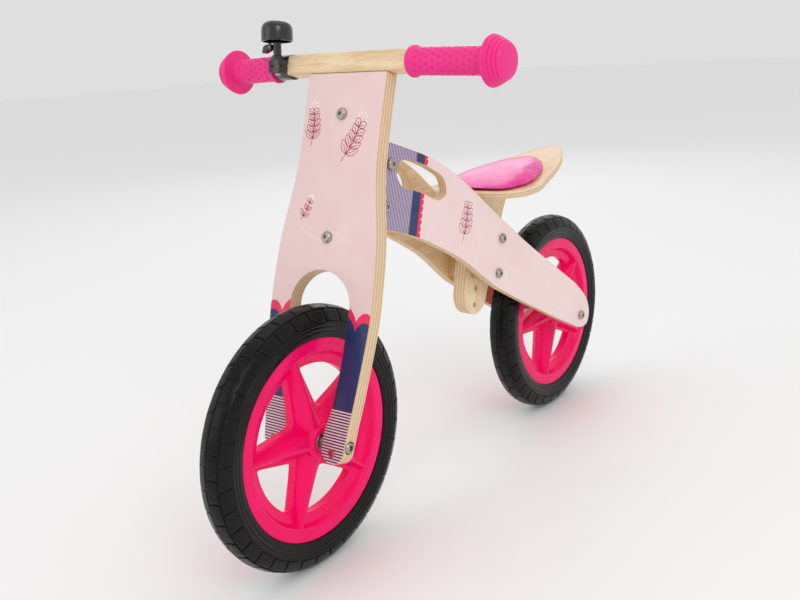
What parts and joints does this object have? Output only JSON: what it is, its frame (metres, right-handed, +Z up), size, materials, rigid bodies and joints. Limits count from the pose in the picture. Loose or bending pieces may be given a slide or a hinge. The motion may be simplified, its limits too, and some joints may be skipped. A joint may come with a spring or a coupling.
{
  "type": "balance bike",
  "caption": "Child's plywood balance bike: a flat fork board steers the front wheel, two splayed panels carry a height-adjustable seat and the rear wheel, with padded grips and a thumb bell.",
  "frame": {"origin": "on the ground, halfway between the two axles, in the bike's middle plane", "axes": "+Z up; the bike's front points to -Y and its rear to +Y; +X is the rider's left"},
  "size_m": [0.392, 0.841, 0.5906],
  "materials": {
    "pink_board": "pale pink satin paint on birch plywood, printed bands",
    "pale_panel": "very pale pink satin paint on birch plywood, printed bands",
    "birch": "clear-lacquered birch plywood",
    "seat_padding": "glossy pink synthetic leather over foam",
    "tyre_foam": "black foam tyre with a block tread",
    "rim_plastic": "moulded magenta plastic",
    "grip_rubber": "soft pink rubber, dimpled",
    "bell_plastic": "glossy black plastic",
    "steel": "plated steel",
    "nylon": "off-white nylon"
  },
  "bodies": {
    "frame": {"frame_panel_left": "pale_panel", "frame_panel_right": "pale_panel", "head_block": "birch", "head_bushing_upper": "nylon", "head_bushing_lower": "nylon", "head_bolt_upper": "steel", "head_bolt_upper_nut": "steel", "head_bolt_lower": "steel", "head_bolt_lower_nut": "steel", "rear_axle": "steel", "rear_axle_nut": "steel", "rear_spacer_left": "steel", "rear_spacer_right": "steel", "seat_post": "birch", "seat_shell": "birch", "seat_pad": "seat_padding", "seat_screw_1": "steel", "seat_screw_2": "steel", "seat_screw_3": "steel", "post_spacer_left": "birch", "post_spacer_right": "birch", "post_bolt_upper": "steel", "post_bolt_upper_nut": "steel", "post_bolt_lower": "steel", "post_bolt_lower_nut": "steel"},
    "fork": {"fork_board": "pink_board", "upper_steering_block": "birch", "lower_steering_block": "birch", "upper_steering_bolt": "steel", "lower_steering_bolt": "steel", "upper_barrel_nut": "steel", "lower_barrel_nut": "steel", "steering_pin": "steel", "steering_pin_nut": "steel", "front_axle": "steel", "front_axle_nut": "steel", "front_spacer_left": "steel", "front_spacer_right": "steel", "axle_lock_screw_left": "steel", "axle_lock_screw_right": "steel", "handlebar": "birch", "grip_left": "grip_rubber", "grip_right": "grip_rubber", "bell_bracket": "bell_plastic", "bell_strap": "bell_plastic", "bell_clamp_screw": "steel", "bell_dome": "bell_plastic", "bell_lever_pin": "steel"},
    "front_wheel": {"front_tyre": "tyre_foam", "front_rim": "rim_plastic", "front_bearing_left": "steel", "front_bearing_right": "steel"},
    "rear_wheel": {"rear_tyre": "tyre_foam", "rear_rim": "rim_plastic", "rear_bearing_left": "steel", "rear_bearing_right": "steel"},
    "bell_lever": {"bell_lever": "bell_plastic"}
  },
  "joints": [
    {"name": "steering", "type": "hinge", "parent": "frame", "child": "fork", "pos_m": [0, -0.23528, 0.13634], "axis": [0, 0.299, 0.9542], "range_deg": [-45, 45]},
    {"name": "front_wheel_spin", "type": "hinge", "parent": "fork", "child": "front_wheel", "pos_m": [0, -0.2725, 0.148], "axis": [1, 0, 0], "continuous": true},
    {"name": "rear_wheel_spin", "type": "hinge", "parent": "frame", "child": "rear_wheel", "pos_m": [0, 0.2725, 0.148], "axis": [1, 0, 0], "continuous": true},
    {"name": "bell_lever_press", "type": "hinge", "parent": "fork", "child": "bell_lever", "pos_m": [-0.10573, -0.16444, 0.56159], "axis": [-0.0061, 0.9916, -0.1289], "range_deg": [-8, 18], "stiffness_Nm_per_rad": 0.05}
  ]
}
